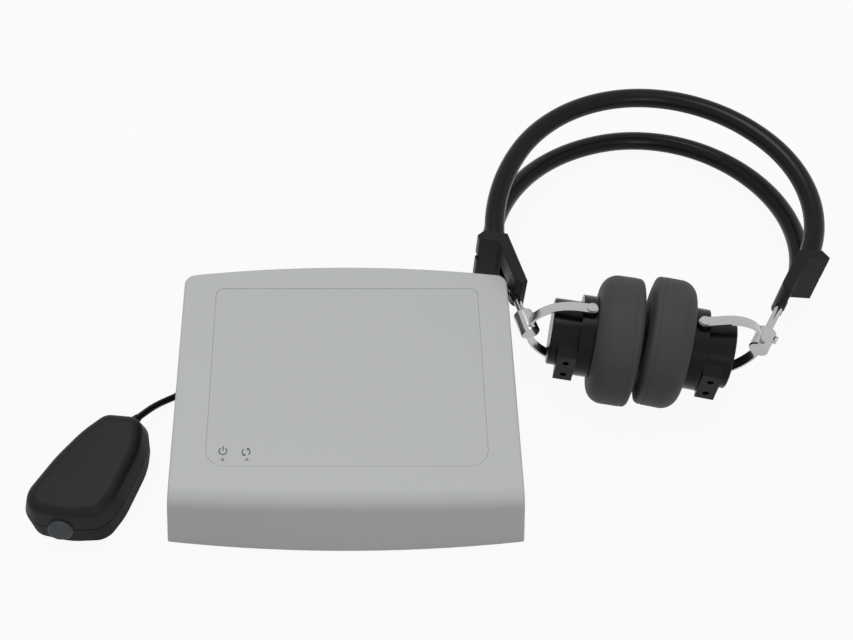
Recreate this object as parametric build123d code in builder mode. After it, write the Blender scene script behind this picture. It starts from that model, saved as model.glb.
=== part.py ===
from build123d import *
import math
import os

os.makedirs("parts", exist_ok=True)

# The model's origin is under the middle of everything that stands on the table.
# The flat unit's own centre lies here, and every size below is taken from that centre.
unit_x = -49.84
unit_y = -61.45

# Flat unit, outside
unit_width = 166.4
unit_height = 40.0
side_flare = 3.8
back_centre_y = 71.0
back_bow = 5.5
foot_centre_y = -71.0
foot_bow = 5.0
brow_centre_y = -64.4
brow_bow = 1.0
cover_gap_below = 0.5
cover_wall = 2.4
brow_radius = 9.5
rim_radius = 1.2
rear_corner_radius = 6.0
skirt_depth = 8.0
cheek_back_y = -52.0

# Lower case
base_width = 147.0
base_front_y = -54.0
base_back_y = 44.0
base_bottom = 1.5
base_floor = 2.5
base_wall = 2.4
base_rim_gap = 0.3
base_corner_radius = 4.0

# Feet
foot_radius = 6.0
foot_height = 2.5
foot_inset_x = 14.0
foot_inset_y = 10.0
foot_edge = 0.4

# Screws of the case
case_screw_x = 64.0
case_screw_front_y = -33.0
case_screw_back_y = 20.0
case_screw_radius = 1.5
case_screw_length = 16.0
screw_head_radius = 2.9
screw_head_height = 2.2
screw_slot_width = 0.8
screw_slot_depth = 0.7
head_clearance = 0.3
thread_clearance = 0.05
boss_radius = 3.5
pad_radius = 5.0
pad_height = 4.0

# Circuit board and what it carries
board_thickness = 1.6
board_top = 13.6
board_gap = 1.2
board_boss_gap = 0.6
standoff_radius = 3.5
standoff_x = 50.0
standoff_front_y = -36.0
standoff_back_y = 24.0
board_screw_radius = 1.2
board_screw_length = 6.0
board_screw_head_radius = 2.4
board_screw_head_height = 1.6
shield_width = 52.0
shield_depth = 40.0
shield_height = 7.0
shield_wall = 0.4
shield_x = 20.0
shield_y = -8.0
chip_sides = (14.0, 10.0, 8.0, 6.0)
chip_height = 1.4
chip_places = ((-28.0, -20.0), (-30.0, 6.0), (-8.0, 28.0), (10.0, 30.0))
led_width = 3.2
led_height = 1.5

# Panel let into the roof, and the lamps' pipes
panel_width = 134.0
panel_x = 0.5
panel_front_y = -45.4
panel_back_y = 57.0
panel_thickness = 0.5
panel_sink = 0.1
panel_gap = 0.15
panel_front_radius = 9.0
panel_back_radius = 4.0
lamp_places = ((-58.4, -41.9), (-46.8, -41.9))
pipe_radius = 1.5
pipe_gap = 0.05
pipe_led_gap = 0.2

# Sockets in the rear wall
jack_height = 19.1
jack_x = (35.0, 45.0, 55.0, 65.0)
jack_bore = 1.8
jack_nose_radius = 3.0
jack_nose_length = 5.4
jack_body_width = 8.0
jack_body_height = 9.0
jack_body_depth = 13.0
jack_bore_depth = 15.0
jack_gap = 0.05
nut_radius = 4.25
nut_height = 2.0
usb_x = -60.0
usb_width = 12.0
usb_height = 11.0
usb_depth = 16.0
usb_slot_width = 8.6
usb_slot_height = 7.9
usb_slot_depth = 9.0
usb_tongue_width = 5.6
usb_tongue_height = 3.0
usb_tongue_length = 4.6
usb_gap = 0.3

# Response switch: corners of its outline at the parting line, with their roundings
switch_corners = (
    (-119.8, -7.0, 10.0),
    (-98.0, -9.2, 10.0),
    (-98.2, -28.5, 40.0),
    (-107.2, -54.0, 40.0),
    (-115.2, -67.0, 12.0),
    (-134.0, -67.8, 40.0),
    (-154.5, -62.9, 10.0),
    (-154.0, -50.5, 14.0),
    (-142.8, -32.0, 80.0),
    (-131.5, -17.5, 60.0),
)
switch_height = 29.5
parting_height = 17.0
parting_gap = 0.6
parting_sink = 0.6
switch_lean = 14.0
switch_undercut = 4.0
switch_top_radius = 6.0
switch_bottom_radius = 3.2
switch_wall = 2.2
button_x = -135.8
button_front_y = -66.2
button_height = 17.2
button_tilt = 20.0
button_radius = 5.9
button_rise = 2.9
button_travel = 1.6
button_gap = 0.1
button_flange = 1.2
button_flange_height = 1.2
button_edge = 0.8
button_well_radius = 3.9
button_well_depth = 5.6
guide_radius = 8.4
guide_length = 4.6
spring_radius = 3.3
spring_wire = 0.5
spring_turns = 5
spring_gap = 0.2
block_width = 12.0
block_height = 9.0
block_depth = 6.0
plunger_radius = 1.6
post_radius = 3.2
post_places = ((-126.5, -25.0), (-108.5, -20.0), (-118.0, -50.0))
switch_screw_radius = 1.2
switch_screw_length = 12.0
switch_screw_head_radius = 2.3
switch_screw_head_height = 1.6

# Cord of the response switch
cord_radius = 1.75
cord_lift = 0.05
cord_way = (
    (-105.2, -3.6, 12.6),
    (-101.9, 1.2, 10.4),
    (-97.4, 7.6, 6.4),
    (-92.8, 12.4, 3.0),
    (-86.6, 16.4, 1.8),
    (-83.0, 23.6, 1.8),
    (-81.7, 35.0, 1.8),
    (-82.1, 50.0, 1.8),
    (-80.2, 63.0, 1.8),
    (-73.0, 74.2, 1.8),
    (-59.5, 80.8, 1.8),
    (-42.0, 80.8, 1.8),
)
relief_length = 10.0
relief_inner_radius = 3.0
relief_tip_radius = 2.1

# Hank: the cord's put-away length
hank_x = -15.0
hank_y = 65.8
hank_run = 54.0
hank_radius = 15.0
hank_step = 4.3
hank_layer_step = 4.1
hank_turns = 2
hank_layers = 4
hank_waist = 4.5
hank_rise = 1.0
tie_width = 8.0
tie_thickness = 0.8
tie_gap = 0.2

# Cord from the hank to the plug, and the plug
tail_way = (
    (12.0, 80.8, 14.1),
    (18.0, 80.8, 14.1),
    (26.5, 80.3, 14.8),
    (33.0, 75.3, 16.8),
    (35.0, 67.5, 19.1),
    (35.0, 62.0, 19.1),
)
plug_radius = 4.4
plug_neck_radius = 2.6
plug_neck_length = 4.5
plug_pin_radius = 1.74
plug_pin_length = 14.0
plug_gap = 0.3

# Headband: twin tubes over sprung wires, drawn by the ends of their tangent arcs
tube_radius = 5.25
wire_radius = 2.0
wire_gap = 0.05
left_mouth = (78.2, 87.2)
right_mouth = (240.4, 75.0)
left_heading = 90.0
upper_arc_ends = ((95.3, 146.3), (168.4, 184.8), (233.9, 151.1))
lower_arc_ends = ((101.8, 153.9), (150.1, 185.8), (214.4, 173.4))
tube_spread = 10.3
headset_mid = 33.0
upper_apex = 46.0
lower_apex = 6.0
apex_y = 187.0
band_centre = (163.0, 98.0)
left_hinge_reach = 94.0
left_hinge_angle = 115.0
right_hinge_reach = 97.5
right_hinge_angle = 56.6
tube_seat = 3.0
wire_seat = 6.0
hinge_gap = 0.3

# Brackets at the band's ends, measured from the middle of the tubes' mouths, outward and forward
bracket_depth = 7.0
bracket_outer = 5.6
hook_points = ((8.8, 4.6), (7.4, 7.4))
bracket_angle = 28.5
arm_width = 6.2
arm_offset = 2.7
crossbar_half_height = 16.5
arm_bottom_below = 6.0
notch_half_height = 2.0
notch_start = 6.4
bracket_hollow_radius = 4.0
bracket_edge = 0.5
rod_radius = 2.0
rod_gap = 0.05
rod_offset = 0.8
rod_tail = 8.0
channel_half_height = 3.4
channel_floor = 1.2
channel_start = 12.0
bush_radius = 2.8
bush_length = 5.0

# Swivel ends of the rods, yokes and pivots
end_radius = 5.0
end_back = 9.0
end_front = 4.0
end_chamfer = 0.6
end_bore_depth = 6.0
end_gap = 0.2
end_screw_radius = 1.0
end_screw_head_radius = 2.0
end_screw_head_height = 1.4
yoke_radius = 24.0
yoke_thickness = 1.2
yoke_width = 5.2
yoke_tip = 2.9
yoke_gap = 0.05
pin_radius = 1.6
pin_gap = 0.05
pin_head_radius = 2.5
pin_head_height = 1.1
pin_depth = 3.4

# Earphones, measured along their own axis from the pivot
cushion_radius = 33.0
cushion_back = 4.0
cushion_thickness = 22.0
cushion_hole = 11.0
cushion_back_round = 8.5
cushion_front_round = 2.6
cushion_lip = 1.0
cushion_crown_radius = 25.0
crown_share = 0.7
cushion_mouth_drop = 5.0
case_radius = 20.75
case_half = 3.7
case_back_radius = 17.0
case_back_length = 12.0
case_wall = 1.8
case_front_wall = 1.5
sound_hole = 4.0
neck_radius = 18.0
neck_length = 5.0
neck_gap = 0.05
cap_height = 2.0
cap_gap = 0.05
cap_edge = 0.6
pivot_pad_reach = 23.1
pivot_pad_radius = 3.0
terminal_width = 9.4
terminal_shift = -8.6
terminal_height = 20.0
terminal_reach = 21.8
terminal_root = 11.2
terminal_pitch = 10.0
terminal_bore = 1.6
terminal_bore_depth = 9.0
terminal_gap = 0.05
driver_gap = 0.05
driver_plate = 1.5
magnet_radius = 9.0
magnet_height = 5.0

overrun = 1.0

# What differs between the two ends of the band as they lie: which way is outward,
# the arm's angle, its length and the rod's, the earphone's pivot and its turn, and the
# side of the rod's end that its screw is on
sides = {
    "left": {
        "mouth": left_mouth, "out": -1.0, "arm_angle": 15.0, "arm_reach": 33.0,
        "rod_out": 17.3, "pivot": (121.6, 32.6), "yaw": -10.5, "screw_side": -1.0,
    },
    "right": {
        "mouth": right_mouth, "out": 1.0, "arm_angle": 31.0, "arm_reach": 29.0,
        "rod_out": 26.0, "pivot": (175.9, 24.8), "yaw": 13.0, "screw_side": 1.0,
    },
}


def spot(x, y, z=0.0):
    return Vector(x + unit_x, y + unit_y, z)


def level(z):
    return Plane(origin=spot(0.0, 0.0, z))


def finish(piece, name):
    piece.part.label = name
    export_step(piece.part, "parts/" + name + ".step")


# Outline of the flat unit: a bowed front, straight sides and a bowed back with round corners
def unit_outline(front_y, bow, inset, flare):
    half = unit_width / 2.0 - inset + flare
    front = front_y + inset
    back = back_centre_y - inset
    with BuildSketch(Plane.XY) as outline:
        with BuildLine():
            ThreePointArc((-half, front + bow), (0.0, front), (half, front + bow))
            Line((half, front + bow), (half, back - back_bow))
            ThreePointArc((half, back - back_bow), (0.0, back), (-half, back - back_bow))
            Line((-half, back - back_bow), (-half, front + bow))
        make_face()
        corners = outline.vertices().group_by(Axis.Y)[-1]
        fillet(corners, rear_corner_radius - inset)
    return outline.sketch


# The unit's closed form between two heights: the fascia leans and the sides flare to the foot
def unit_form(bottom, top, inset, brow_fillet):
    lean = (brow_centre_y - foot_centre_y) / unit_height
    bow_change = (brow_bow - foot_bow) / unit_height
    with BuildPart() as form:
        for height in (bottom, top):
            front_y = foot_centre_y + lean * height
            bow = foot_bow + bow_change * height
            with BuildSketch(level(height)):
                add(unit_outline(front_y, bow, inset, side_flare * (1.0 - height / unit_height)))
        loft(ruled=True)
        brow = form.edges().group_by(Axis.Z)[-1].sort_by(Axis.Y)[0]
        fillet(brow, brow_fillet)
    return form.part


roof_under = unit_height - cover_wall
base_top = roof_under - base_rim_gap
boss_bottom = base_bottom + base_floor + pad_height
case_screw_places = [
    (side * case_screw_x, y)
    for side in (-1.0, 1.0)
    for y in (case_screw_front_y, case_screw_back_y)
]
panel_depth = panel_back_y - panel_front_y
panel_y = (panel_back_y + panel_front_y) / 2.0
panel_floor = unit_height - panel_thickness - panel_sink


def panel_outline(gap):
    with BuildSketch(Plane.XY) as outline:
        with Locations((panel_x, panel_y)):
            Rectangle(panel_width + gap * 2.0, panel_depth + gap * 2.0)
        fillet(outline.vertices().group_by(Axis.Y)[0], panel_front_radius + gap)
        fillet(outline.vertices().group_by(Axis.Y)[-1], panel_back_radius + gap)
    return outline.sketch


unit_outer = unit_form(cover_gap_below, unit_height, 0.0, brow_radius)
unit_inner = unit_form(cover_gap_below - overrun, roof_under, cover_wall, brow_radius - cover_wall)

with BuildPart() as top_cover:
    add(unit_outer)
    side_faces = [top_cover.faces().sort_by(Axis.X)[0], top_cover.faces().sort_by(Axis.X)[-1]]
    rim = [
        edge
        for face in side_faces
        for edge in face.edges()
        if edge.center().Z > unit_height / 4.0 and edge.center().Y < unit_y + back_centre_y - back_bow * 2.0
    ]
    back_rim = [
        edge
        for edge in top_cover.edges().group_by(Axis.Z)[-1]
        if edge.center().Y > unit_y + back_centre_y - back_bow * 2.0
    ]
    fillet(rim + back_rim, rim_radius)
    add(unit_inner, mode=Mode.SUBTRACT)
    with BuildSketch(level(cover_gap_below - overrun)):
        with Locations((0.0, cheek_back_y)):
            Rectangle(unit_width * 2.0, unit_width * 2.0, align=(Align.CENTER, Align.MIN))
    extrude(amount=unit_height - skirt_depth - cover_gap_below + overrun, mode=Mode.SUBTRACT)
    with BuildSketch(level(boss_bottom)):
        with Locations(*case_screw_places):
            Circle(boss_radius)
    extrude(amount=roof_under - boss_bottom + overrun / 4.0)
    with BuildSketch(level(boss_bottom)):
        with Locations(*case_screw_places):
            Circle(case_screw_radius + thread_clearance)
    extrude(amount=case_screw_length, mode=Mode.SUBTRACT)
    with BuildSketch(level(panel_floor)):
        add(panel_outline(panel_gap))
    extrude(amount=panel_thickness + panel_sink + overrun, mode=Mode.SUBTRACT)
    with BuildSketch(level(roof_under - overrun)):
        with Locations(*lamp_places):
            Circle(pipe_radius + pipe_gap)
    extrude(amount=cover_wall + overrun * 2.0, mode=Mode.SUBTRACT)
finish(top_cover, "top_cover")

with BuildPart() as inlay_panel:
    with BuildSketch(level(panel_floor)):
        add(panel_outline(0.0))
        with Locations(*lamp_places):
            Circle(pipe_radius + pipe_gap, mode=Mode.SUBTRACT)
    extrude(amount=panel_thickness)
finish(inlay_panel, "inlay_panel")

# Lower case: floor, four walls, pads under the cover's bosses and stand-offs for the board
base_depth = base_back_y - base_front_y
base_y = (base_back_y + base_front_y) / 2.0
floor_top = base_bottom + base_floor
board_bottom = board_top - board_thickness
foot_places = [
    (side * (base_width / 2.0 - foot_inset_x), y)
    for side in (-1.0, 1.0)
    for y in (base_front_y + foot_inset_y, base_back_y - foot_inset_y)
]
standoff_places = [
    (side * standoff_x, y) for side in (-1.0, 1.0) for y in (standoff_front_y, standoff_back_y)
]
foot_seat = foot_height - base_bottom
head_pocket = screw_head_height + base_bottom + foot_seat

with BuildPart() as base:
    with BuildSketch(level(base_bottom)):
        with Locations((0.0, base_y)):
            RectangleRounded(base_width, base_depth, base_corner_radius)
    extrude(amount=base_top - base_bottom)
    with BuildSketch(level(floor_top)):
        with Locations((0.0, base_y)):
            inner_width = base_width - base_wall * 2.0
            inner_depth = base_depth - base_wall * 2.0
            RectangleRounded(inner_width, inner_depth, base_corner_radius - base_wall)
    extrude(amount=base_top - floor_top + overrun, mode=Mode.SUBTRACT)
    with BuildSketch(level(base_bottom)):
        with Locations(*case_screw_places):
            Circle(pad_radius)
    extrude(amount=base_floor + pad_height)
    with BuildSketch(level(floor_top - foot_seat)):
        with Locations(*standoff_places):
            Circle(standoff_radius)
    extrude(amount=board_bottom - floor_top + foot_seat)
    with BuildSketch(level(base_bottom)):
        with Locations(*foot_places):
            Circle(foot_radius + thread_clearance)
    extrude(amount=foot_seat, mode=Mode.SUBTRACT)
    with BuildSketch(level(base_bottom)):
        with Locations(*case_screw_places):
            Circle(screw_head_radius + head_clearance)
    extrude(amount=head_pocket, mode=Mode.SUBTRACT)
    with BuildSketch(level(base_bottom)):
        with Locations(*case_screw_places):
            Circle(case_screw_radius + thread_clearance)
    extrude(amount=base_floor + pad_height + overrun, mode=Mode.SUBTRACT)
    with BuildSketch(level(board_bottom - board_screw_length)):
        with Locations(*standoff_places):
            Circle(board_screw_radius + thread_clearance)
    extrude(amount=board_screw_length + overrun, mode=Mode.SUBTRACT)
    rear_plane = Plane(origin=spot(0.0, base_back_y + overrun), x_dir=(-1, 0, 0), z_dir=(0, 1, 0))
    with BuildSketch(rear_plane):
        with Locations(*[(-x, jack_height) for x in jack_x]):
            Circle(jack_nose_radius + jack_gap)
        with Locations((-usb_x, board_top + usb_height / 2.0)):
            Rectangle(usb_width + usb_gap * 2.0, usb_height + usb_gap * 2.0)
    extrude(amount=-(base_wall + overrun * 2.0), mode=Mode.SUBTRACT)
finish(base, "base")

with BuildPart() as rubber_feet:
    with BuildSketch(level(0.0)):
        with Locations(*foot_places):
            Circle(foot_radius)
    extrude(amount=foot_height)
    chamfer(rubber_feet.edges().group_by(Axis.Z)[0], foot_edge)
finish(rubber_feet, "rubber_feet")


# A pan-head screw driven upwards: its head's upper face at the given height
def screws_up(places, seat, shank_radius, shank_length, head_radius, head_height):
    with BuildPart() as screws:
        with BuildSketch(level(seat - head_height)):
            with Locations(*places):
                Circle(head_radius)
        extrude(amount=head_height)
        with BuildSketch(level(seat)):
            with Locations(*places):
                Circle(shank_radius)
        extrude(amount=shank_length)
        with BuildSketch(level(seat - head_height)):
            with Locations(*places):
                Rectangle(head_radius * 2.0, screw_slot_width)
        extrude(amount=screw_slot_depth, mode=Mode.SUBTRACT)
    return screws


head_seat = base_bottom + head_pocket
case_screws = screws_up(
    case_screw_places, head_seat, case_screw_radius, case_screw_length,
    screw_head_radius, screw_head_height,
)
finish(case_screws, "case_screws")


# A screw driven downwards, with its head's lower face at the given height
def screws_down(places, seat, shank_radius, shank_length, head_radius, head_height):
    with BuildPart() as screws:
        with BuildSketch(level(seat)):
            with Locations(*places):
                Circle(head_radius)
        extrude(amount=head_height)
        with BuildSketch(level(seat)):
            with Locations(*places):
                Circle(shank_radius)
        extrude(amount=-shank_length)
        with BuildSketch(level(seat + head_height - screw_slot_depth)):
            with Locations(*places):
                Rectangle(head_radius * 2.0, screw_slot_width)
        extrude(amount=screw_slot_depth, mode=Mode.SUBTRACT)
    return screws


board_screws = screws_down(
    standoff_places, board_top, board_screw_radius, board_screw_length,
    board_screw_head_radius, board_screw_head_height,
)
finish(board_screws, "board_screws")

board_width = base_width - (base_wall + board_gap) * 2.0
board_depth = base_depth - (base_wall + board_gap) * 2.0
with BuildPart() as main_board:
    with BuildSketch(level(board_bottom)):
        with Locations((0.0, base_y)):
            Rectangle(board_width, board_depth)
        with Locations(*case_screw_places):
            Circle(boss_radius + board_boss_gap, mode=Mode.SUBTRACT)
        with Locations(*standoff_places):
            Circle(board_screw_radius + thread_clearance, mode=Mode.SUBTRACT)
    extrude(amount=board_thickness)
finish(main_board, "main_board")

with BuildPart() as signal_shield:
    with BuildSketch(level(board_top)):
        with Locations((shield_x, shield_y)):
            Rectangle(shield_width, shield_depth)
    extrude(amount=shield_height)
    with BuildSketch(level(board_top)):
        with Locations((shield_x, shield_y)):
            Rectangle(shield_width - shield_wall * 2.0, shield_depth - shield_wall * 2.0)
    extrude(amount=shield_height - shield_wall, mode=Mode.SUBTRACT)
finish(signal_shield, "signal_shield")

with BuildPart() as board_chips:
    for place, side in zip(chip_places, chip_sides):
        with BuildSketch(level(board_top)):
            with Locations(place):
                Rectangle(side, side)
        extrude(amount=chip_height)
finish(board_chips, "board_chips")

with BuildPart() as indicator_leds:
    with BuildSketch(level(board_top)):
        with Locations(*lamp_places):
            Rectangle(led_width, led_width)
    extrude(amount=led_height)
finish(indicator_leds, "indicator_leds")

pipe_bottom = board_top + led_height + pipe_led_gap
with BuildPart() as light_pipes:
    with BuildSketch(level(pipe_bottom)):
        with Locations(*lamp_places):
            Circle(pipe_radius)
    extrude(amount=panel_floor + panel_thickness - pipe_bottom)
finish(light_pipes, "light_pipes")


# One 3.5 mm socket: a body behind the rear wall, a threaded nose through it, and its bore
def jack_socket(x, name):
    with BuildPart() as socket:
        body_face = base_back_y - base_wall
        with BuildSketch(Plane(origin=spot(x, body_face, jack_height), x_dir=(-1, 0, 0), z_dir=(0, 1, 0))):
            Rectangle(jack_body_width, jack_body_height)
        extrude(amount=-jack_body_depth)
        with BuildSketch(Plane(origin=spot(x, body_face, jack_height), x_dir=(-1, 0, 0), z_dir=(0, 1, 0))):
            Circle(jack_nose_radius)
        extrude(amount=jack_nose_length)
        mouth_y = body_face + jack_nose_length
        with BuildSketch(Plane(origin=spot(x, mouth_y, jack_height), x_dir=(-1, 0, 0), z_dir=(0, 1, 0))):
            Circle(jack_bore)
        extrude(amount=-jack_bore_depth, mode=Mode.SUBTRACT)
    finish(socket, name)


jack_names = ("response_socket", "left_phone_socket", "right_phone_socket", "bone_socket")
for jack_name, jack_place in zip(jack_names, jack_x):
    jack_socket(jack_place, jack_name)

with BuildPart() as socket_nuts:
    with BuildSketch(Plane(origin=spot(0.0, base_back_y, jack_height), x_dir=(-1, 0, 0), z_dir=(0, 1, 0))):
        with Locations(*[(-x, 0.0) for x in jack_x]):
            Circle(nut_radius)
            Circle(jack_nose_radius + jack_gap, mode=Mode.SUBTRACT)
    extrude(amount=nut_height)
finish(socket_nuts, "socket_nuts")

# Square data socket, with its tongue at the bottom of a deeper slot
usb_middle = board_top + usb_height / 2.0
with BuildPart() as usb_socket:
    usb_face = Plane(origin=spot(usb_x, base_back_y, usb_middle), x_dir=(-1, 0, 0), z_dir=(0, 1, 0))
    with BuildSketch(usb_face):
        Rectangle(usb_width, usb_height)
    extrude(amount=-usb_depth)
    with BuildSketch(usb_face):
        Rectangle(usb_slot_width, usb_slot_height)
    extrude(amount=-usb_slot_depth, mode=Mode.SUBTRACT)
    with BuildSketch(usb_face.offset(-usb_slot_depth)):
        Rectangle(usb_tongue_width, usb_tongue_height)
    extrude(amount=usb_tongue_length)
finish(usb_socket, "usb_socket")


# The switch's outline, drawn in by a wall, with its corners rounded
def switch_outline(inset):
    with BuildSketch(Plane.XY) as outline:
        with BuildLine():
            Polyline(*[(x, y) for x, y, radius in switch_corners], close=True)
        make_face()
        for x, y, radius in switch_corners:
            fillet(outline.vertices().sort_by_distance((x, y, 0.0))[0], radius)
        if inset:
            offset(amount=-inset, mode=Mode.REPLACE)
    return outline.sketch


# One half of the switch: its walls lean in away from the parting line, and its far rim is round
def switch_half(start, amount, lean, inset, rim_round):
    lean_in = abs(amount) * math.tan(math.radians(lean))
    with BuildPart() as half:
        with BuildSketch(level(start)):
            add(switch_outline(inset))
        with BuildSketch(level(start + amount)):
            add(switch_outline(inset + lean_in))
        loft(ruled=True)
        far_end = half.faces().sort_by(Axis.Z)[-1 if amount > 0 else 0]
        fillet(far_end.edges(), rim_round)
    return half.part


upper_start = parting_height + parting_gap / 2.0
lower_start = parting_height - parting_gap / 2.0
upper_rise = switch_height - upper_start
upper_outer = switch_half(upper_start, upper_rise, switch_lean, 0.0, switch_top_radius)
upper_inner = switch_half(
    upper_start, upper_rise - switch_wall, switch_lean, switch_wall, switch_top_radius - switch_wall
)
lower_outer = switch_half(lower_start, -lower_start, switch_undercut, 0.0, switch_bottom_radius)
lower_inner = switch_half(
    lower_start, switch_wall - lower_start, switch_undercut, switch_wall, switch_bottom_radius - switch_wall
)

# The button's axis starts on the nose and leans up a little
button_axis = (0.0, -math.cos(math.radians(button_tilt)), math.sin(math.radians(button_tilt)))
button_plane = Plane(
    origin=spot(button_x, button_front_y, button_height), x_dir=(1, 0, 0), z_dir=button_axis
)
flange_front = guide_length + button_gap
button_back = flange_front + button_flange_height
block_face = button_back + button_travel + spring_gap
well_bottom = button_back - button_well_depth
spring_top = well_bottom + button_travel + spring_gap

with BuildPart() as guide_form:
    with BuildSketch(button_plane.offset(-guide_length)):
        Circle(guide_radius)
    extrude(amount=guide_length + button_rise)
with BuildPart() as bore_form:
    with BuildSketch(button_plane.offset(-button_back)):
        Circle(button_radius + button_gap)
    extrude(amount=button_back + button_rise * 2.0)
    with BuildSketch(button_plane.offset(-block_face)):
        Circle(button_radius + button_flange + button_gap * 2.0)
    extrude(amount=block_face - guide_length)
with BuildPart() as block_form:
    with BuildSketch(button_plane.offset(-block_face - block_depth)):
        Rectangle(block_width + thread_clearance * 2.0, block_height + thread_clearance * 2.0)
    extrude(amount=block_depth + button_rise)

# The relief's axis follows the cord's first run
relief_end = Vector(*cord_way[0])
relief_axis = (Vector(*cord_way[1]) - relief_end).normalized()
relief_plane = Plane(
    origin=spot(*relief_end) - relief_axis * relief_length, z_dir=relief_axis
)


def relief_form(gap):
    with BuildPart() as form:
        with BuildSketch(relief_plane):
            Circle(relief_inner_radius + gap)
        with BuildSketch(relief_plane.offset(relief_length)):
            Circle(relief_tip_radius + gap)
        loft()
    return form.part


relief_hole = relief_form(thread_clearance)

with BuildPart() as switch_upper_shell:
    add(upper_outer)
    add(upper_inner, mode=Mode.SUBTRACT)
    add(guide_form.part & upper_outer)
    with BuildSketch(level(upper_start)):
        with Locations(*post_places):
            Circle(post_radius)
    extrude(amount=upper_rise - switch_wall / 2.0)
    with BuildSketch(level(upper_start)):
        with Locations(*post_places):
            Circle(switch_screw_radius + thread_clearance)
    extrude(amount=upper_rise - switch_wall * 2.0, mode=Mode.SUBTRACT)
    add(bore_form.part, mode=Mode.SUBTRACT)
    add(block_form.part, mode=Mode.SUBTRACT)
    add(relief_hole, mode=Mode.SUBTRACT)
finish(switch_upper_shell, "switch_upper_shell")

switch_head_pocket = lower_start - switch_screw_length / 2.0
with BuildPart() as switch_lower_shell:
    add(lower_outer)
    add(lower_inner, mode=Mode.SUBTRACT)
    with BuildSketch(level(lower_start)):
        add(switch_outline(parting_sink))
        add(switch_outline(switch_wall), mode=Mode.SUBTRACT)
    extrude(amount=parting_gap)
    add(guide_form.part & lower_outer)
    with BuildSketch(level(switch_wall / 2.0)):
        with Locations(*post_places):
            Circle(post_radius)
        with Locations((button_x, button_front_y + block_face + block_depth / 2.0)):
            Rectangle(block_width, block_depth * 2.0)
    extrude(amount=lower_start - switch_wall / 2.0)
    with BuildSketch(level(lower_start)):
        with Locations(*post_places):
            Circle(post_radius)
    extrude(amount=parting_gap)
    with BuildSketch(level(-overrun)):
        with Locations(*post_places):
            Circle(switch_screw_head_radius + head_clearance)
    extrude(amount=switch_head_pocket + overrun, mode=Mode.SUBTRACT)
    with BuildSketch(level(0.0)):
        with Locations(*post_places):
            Circle(switch_screw_radius + thread_clearance)
    extrude(amount=upper_start + overrun, mode=Mode.SUBTRACT)
    add(bore_form.part, mode=Mode.SUBTRACT)
    add(block_form.part, mode=Mode.SUBTRACT)
    add(relief_hole, mode=Mode.SUBTRACT)
finish(switch_lower_shell, "switch_lower_shell")

switch_screws = screws_up(
    post_places, switch_head_pocket, switch_screw_radius, switch_screw_length,
    switch_screw_head_radius, switch_screw_head_height,
)
finish(switch_screws, "switch_screws")

with BuildPart() as button:
    with BuildSketch(button_plane.offset(-button_back)):
        Circle(button_radius)
    extrude(amount=button_back + button_rise)
    front_edge = button.edges().sort_by(Axis((0, 0, 0), button_axis))[-1]
    fillet(front_edge, button_edge)
    with BuildSketch(button_plane.offset(-button_back)):
        Circle(button_radius + button_flange)
    extrude(amount=button_flange_height)
    with BuildSketch(button_plane.offset(-button_back)):
        Circle(button_well_radius)
    extrude(amount=button_well_depth, mode=Mode.SUBTRACT)
finish(button, "button")

with BuildPart() as micro_switch:
    with BuildSketch(button_plane.offset(-block_face - block_depth)):
        Rectangle(block_width, block_height)
    extrude(amount=block_depth)
    with BuildSketch(button_plane.offset(-block_face)):
        Circle(plunger_radius)
    extrude(amount=block_face - spring_top)
finish(micro_switch, "micro_switch")

# Return spring: an open coil between the block and the bottom of the button's well
spring_height = block_face - spring_top - spring_wire * 2.0
spring_base = button_plane.offset(-block_face + spring_wire)
spring_line = Helix(spring_height / spring_turns, spring_height, spring_radius)
with BuildPart() as button_spring:
    with BuildLine():
        add(spring_base * spring_line)
    start_plane = Plane(
        origin=button_spring.pending_edges[0] @ 0, z_dir=button_spring.pending_edges[0] % 0
    )
    with BuildSketch(start_plane):
        Circle(spring_wire / 2.0)
    sweep()
finish(button_spring, "button_spring")

with BuildPart() as cord_relief:
    add(relief_form(0.0))
finish(cord_relief, "cord_relief")


# A cord's free stretch: straight runs joined by the largest arcs that the runs allow
def cord_tube(way, name):
    points = [spot(*point) for point in way]
    radii = []
    for before, here, after in zip(points, points[1:], points[2:]):
        turn = math.radians((here - before).get_angle(after - here))
        shorter = min((here - before).length, (after - here).length)
        radii.append(0.45 * shorter / math.tan(turn / 2.0))
    print(name, "radii", [round(radius, 1) for radius in radii])
    with BuildPart() as tube:
        with BuildLine() as line:
            FilletPolyline(*points, radius=radii)
        with BuildSketch(Plane(origin=points[0], z_dir=points[1] - points[0])):
            Circle(cord_radius)
        sweep()
    length = line.wires()[0].length
    expected = length * math.pi * cord_radius ** 2
    print(name, "length", round(length, 1), "volume share", round(tube.part.volume / expected, 4))
    finish(tube, name)


cord_tube(cord_way, "cord_run")
cord_tube(tail_way, "cord_tail")

# Stations of the hank: point and heading at each fold's ends and tip and at the waist
half_run = hank_run / 2.0
hank_bottom = cord_radius + cord_lift


def fold_stations(x_side, start_y, radius, height):
    middle_y = start_y - x_side * radius
    tip = ((x_side * (half_run + radius), middle_y, height), (0.0, -x_side, 0.0))
    end_y = start_y - x_side * radius * 2.0
    end = ((x_side * half_run, end_y, height), (-x_side, 0.0, 0.0))
    return [tip, end], end_y


def run_stations(x_side, run_y, height, next_height):
    waist_y = run_y - math.copysign(hank_waist, run_y)
    waist_height = (height + next_height) / 2.0 + hank_rise
    waist = ((0.0, waist_y, waist_height), (x_side, 0.0, 0.0))
    end = ((x_side * half_run, run_y, next_height), (x_side, 0.0, 0.0))
    return [waist, end]


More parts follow.
